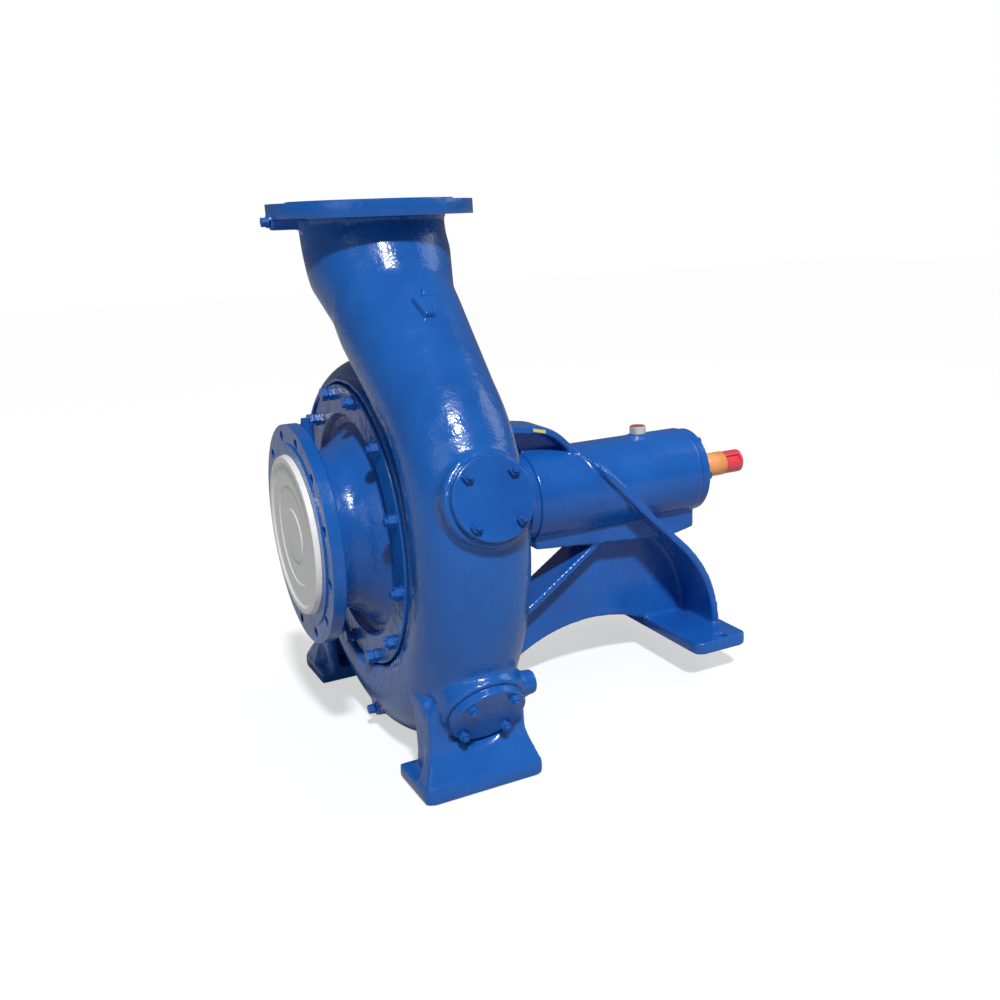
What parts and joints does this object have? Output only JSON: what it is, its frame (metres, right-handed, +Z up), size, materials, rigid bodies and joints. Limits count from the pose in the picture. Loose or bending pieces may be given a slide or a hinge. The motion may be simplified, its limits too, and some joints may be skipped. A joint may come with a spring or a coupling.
{
  "type": "volute pump",
  "caption": "Single-stage end-suction volute pump: spiral casing with S-neck, bolted suction cover, hand covers, closed impeller and bearing bracket on an arched foot.",
  "frame": {"origin": "on the floor plane at the middle of the casing foot bolt pattern, a little behind the discharge centre line", "axes": "+X along the shaft towards the drive end, +Z up out of the discharge flange"},
  "size_m": [1.108, 0.9385, 1.085],
  "materials": {
    "casing_paint": "gloss enamel on cast iron",
    "cover_paint": "gloss enamel on cast iron",
    "bracket_paint": "gloss enamel on cast iron",
    "painted_fasteners": "painted over with the casing",
    "gasket_sheet": "pressed fibre sheet",
    "cast_iron": "as cast",
    "wear_steel": "turned",
    "packing": "braided and greased",
    "gland_iron": "machined",
    "bright_steel": "turned and ground",
    "bearing_steel": "ground",
    "cage_brass": "turned",
    "seal_rubber": "moulded",
    "plug_metal": "bright plug with a copper washer and cap",
    "cap_plastic": "moulded",
    "shaft_steel": "turned steel with a red protective lacquer on its end"
  },
  "bodies": {
    "root": {"volute_casing": "casing_paint", "suction_cover": "cover_paint", "upper_handhole_cover": "cover_paint", "lower_cleanout_cover": "cover_paint", "casing_cover": "cover_paint", "bearing_bracket": "bracket_paint", "pump_side_bearing_cover": "bracket_paint", "drive_side_bearing_cover": "bracket_paint", "suction_cover_studs": "painted_fasteners", "suction_cover_washers": "painted_fasteners", "suction_cover_nuts": "painted_fasteners", "adjusting_lock_nuts": "painted_fasteners", "adjusting_screws": "painted_fasteners", "upper_handhole_studs": "painted_fasteners", "upper_handhole_nuts": "painted_fasteners", "lower_cleanout_studs": "painted_fasteners", "lower_cleanout_nuts": "painted_fasteners", "casing_drain_plug": "painted_fasteners", "suction_gauge_plug": "painted_fasteners", "discharge_gauge_plug": "painted_fasteners", "bracket_studs": "painted_fasteners", "bracket_nuts": "painted_fasteners", "bearing_cover_screws": "painted_fasteners", "oil_drain_plug": "painted_fasteners", "upper_handhole_gasket": "gasket_sheet", "lower_cleanout_gasket": "gasket_sheet", "suction_cover_gasket": "gasket_sheet", "casing_cover_gasket": "gasket_sheet", "suction_wear_ring": "wear_steel", "lantern_ring": "wear_steel", "packing_rings": "packing", "gland": "gland_iron", "gland_studs": "bright_steel", "gland_nuts": "bright_steel", "roller_bearing_outer_ring": "bearing_steel", "ball_bearing_outer_rings": "bearing_steel", "pump_side_shaft_seal": "seal_rubber", "drive_side_shaft_seal": "seal_rubber", "oil_filler_plug": "plug_metal"},
    "rotor": {"pump_shaft": "shaft_steel", "impeller": "cast_iron", "impeller_key": "bright_steel", "impeller_nut": "bright_steel", "shaft_sleeve": "wear_steel", "shaft_thrower": "seal_rubber", "roller_bearing_inner_ring": "bearing_steel", "ball_bearing_inner_rings": "bearing_steel", "bearing_lock_washer": "bright_steel", "bearing_lock_nut": "bright_steel"},
    "roller_set": {"bearing_rollers": "bearing_steel", "roller_cage": "cage_brass"},
    "ball_set": {"bearing_balls": "bearing_steel", "ball_cages": "cage_brass"},
    "cap": {"suction_cap": "cap_plastic"}
  },
  "joints": [
    {"name": "shaft_rotation", "type": "hinge", "parent": "root", "child": "rotor", "pos_m": [0, 0, 0.445], "axis": [-1, 0, 0], "continuous": true},
    {"name": "roller_set_rotation", "type": "hinge", "parent": "root", "child": "roller_set", "pos_m": [0, 0, 0.445], "axis": [-1, 0, 0], "continuous": true},
    {"name": "ball_set_rotation", "type": "hinge", "parent": "root", "child": "ball_set", "pos_m": [0, 0, 0.445], "axis": [-1, 0, 0], "continuous": true},
    {"name": "cap_pull", "type": "slide", "parent": "root", "child": "cap", "axis": [-1, 0, 0], "range_m": [0, 0.06]}
  ],
  "couplings": [
    {"joint": "roller_set_rotation", "follows": "shaft_rotation", "ratio": 0.4136},
    {"joint": "ball_set_rotation", "follows": "shaft_rotation", "ratio": 0.3927}
  ]
}
